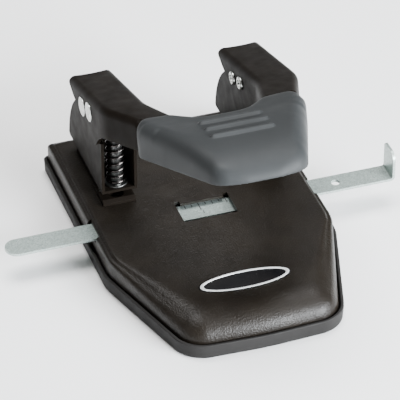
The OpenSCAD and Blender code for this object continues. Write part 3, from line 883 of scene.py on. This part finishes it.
def grip_top(x, u):
    """Height of the grip's skin: fuller lobes at both ends, then one long crown down to the front edge."""
    lobe = 0.55 * min(1, (abs(x) / 30) ** 2)
    rear = 0.45 * max(0, 1 - (u - GRIP_FROM) / 14)
    full = PLATE_TOP - 0.3 + lobe + rear
    if u <= CROWN_FROM:
        return full
    reach = min(1, (u - CROWN_FROM) / (GRIP_TO - CROWN_FROM))
    return GRIP_BOTTOM + (full - GRIP_BOTTOM) * (1 - reach ** CROWN_POWER) ** (1 / CROWN_POWER)


def grip_outline():
    """Plan of the grip in its own frame: waisted rear edge, tapering sides, bowed front."""
    def side_x(u):
        return GRIP_REAR_HALF - (u - GRIP_FROM) * GRIP_SIDE_SLOPE

    right = [(9, BEND_Y - GRIP_NOTCH, 10), (20, BEND_Y - GRIP_FROM, 8),
             (side_x(GRIP_FROM), BEND_Y - GRIP_FROM, 6.5),
             (side_x(GRIP_CORNER_AT), BEND_Y - GRIP_CORNER_AT, 9.5), (8, BEND_Y - GRIP_TO, 30)]
    corners = right + [(-x, y, r) for x, y, r in reversed(right)]
    return dense(rounded([(x, y) for x, y, _ in corners], [r for _, _, r in corners], 12), 1.2)


def skin_z(place):
    """Height of the grip's skin at a place given in the handle's frame."""
    return grip_top(place.x, BEND_Y - place.y)


def make_grip():
    """Moulded comfort grip: softly rounded skin with three raised bars, open underneath."""
    outline = grip_outline()
    rings = [[Vector((p.x, p.y, GRIP_BOTTOM)) for p in outline]]
    radii = []
    for p, before, after in zip(outline, outline[-1:] + outline[:-1], outline[1:] + outline[:1]):
        along = (after - before).normalized()
        rearward = abs(along.x) if p.y > BEND_Y - CROWN_FROM else 0
        tall = skin_z(p) - GRIP_BOTTOM
        radii.append(max(0.3, min(6.5 - 4.3 * rearward, 0.6 * tall)))
    for k in range(8):
        turn = math.pi / 2 * k / 7
        moved = inward(outline, [r * (1 - math.cos(turn)) for r in radii])
        rings.append([Vector((p.x, p.y, max(GRIP_BOTTOM, skin_z(p) - r * (1 - math.sin(turn)))))
                      for p, r in zip(moved, radii)])
    bm = bmesh.new()
    walls = ring_walls(bm, rings)
    skin = fill(bm, walls[-1])
    reach = GRIP_TO - CROWN_FROM
    across = [((x, 0, 0), (1, 0, 0)) for x in range(-36, 37, 3)]
    along = [((0, BEND_Y - u, 0), (0, 1, 0)) for u in range(26, CROWN_FROM, 4)]
    along += [((0, BEND_Y - CROWN_FROM - reach * math.sin(math.radians(a)), 0), (0, 1, 0))
              for a in range(0, 88, 6)]
    for face in cut_grid(bm, skin, across + along):
        for vert in face.verts:
            vert.co.z = max(GRIP_BOTTOM, skin_z(vert.co))
    fill(bm, walls[0])
    bmesh.ops.triangulate(bm, faces=bm.faces)
    grip = link("grip_skin", bm, grip_plastic)
    fuse(grip, 0.5, 22)
    bm = bmesh.new()
    bm.from_mesh(grip.data)
    add_grip_bars(bm)
    bm.to_mesh(grip.data)
    bm.free()
    fuse(grip, 0.4, 3)
    open_underneath(grip)
    return finish_piece(grip, "handle", "grip_plastic", "handle_grip")


def add_grip_bars(bm):
    """Long raised bars with round ends, each following the crown down."""
    for u in BAR_AT:
        centre = Vector((0, BEND_Y - u, grip_top(0, u) - BAR_SINK))
        bar = bmesh.ops.create_uvsphere(bm, u_segments=24, v_segments=16, radius=BAR_R)["verts"]
        bmesh.ops.rotate(bm, verts=bar, matrix=Matrix.Rotation(math.pi / 2, 3, "Y"))
        for vert in bar:
            vert.co.x += math.copysign(BAR_HALF, vert.co.x) if abs(vert.co.x) > 1e-4 else 0
            vert.co += centre


def fuse(grip, voxel, rounds):
    """Fuses a closed mesh into one skin and eases every edge."""
    remesh = grip.modifiers.new("fuse", "REMESH")
    remesh.mode = "VOXEL"
    remesh.voxel_size = voxel
    ease = grip.modifiers.new("ease", "SMOOTH")
    ease.factor = 0.5
    ease.iterations = rounds
    freeze(grip)


def open_underneath(grip):
    """Opens the fused skin underneath, places it and gives it an even wall."""
    bm = bmesh.new()
    bm.from_mesh(grip.data)
    low = min(v.co.z for v in bm.verts)
    under = [f for f in bm.faces if f.normal.z < -0.6 and f.calc_center_median().z < low + 0.6]
    bmesh.ops.delete(bm, geom=under, context="FACES")
    to_row(bm)
    for face in bm.faces:
        face.smooth = True
    bm.to_mesh(grip.data)
    bm.free()
    thicken(grip, GRIP_WALL * MM)
    paint(grip, grip_plastic)


make_chip_tray()
make_shell()
make_badge()
make_ruler()
make_scale()
for side in ("left", "right"):
    make_spring(side)
    make_rivet(f"{side}_pivot_rivet")
    make_rivet(f"{side}_drive_rivet")
make_yoke()
make_grip()

# CAD nodes whose shape is right keep it, with their own finish and edges softened by this width in mm.
KEPT = {
    frame_paint: (["left_tower", "right_tower", "left_backstop", "right_backstop", "left_die_plate",
                   "right_die_plate"], 0.3),
    tool_steel: (["ruler_keepers", "left_pivot_spacer", "right_pivot_spacer", "left_spring_seat",
                  "right_spring_seat", "left_punch_pin", "right_punch_pin", "grip_screws"], 0.15),
    rivet_steel: (["tower_rivets", "die_rivets"], 0.15),
    spring_steel: (["ruler_spring"], 0.08),
}
for material, (names, width) in KEPT.items():
    for name in names:
        paint(nodes[name], material)
        soften(nodes[name], width * MM)
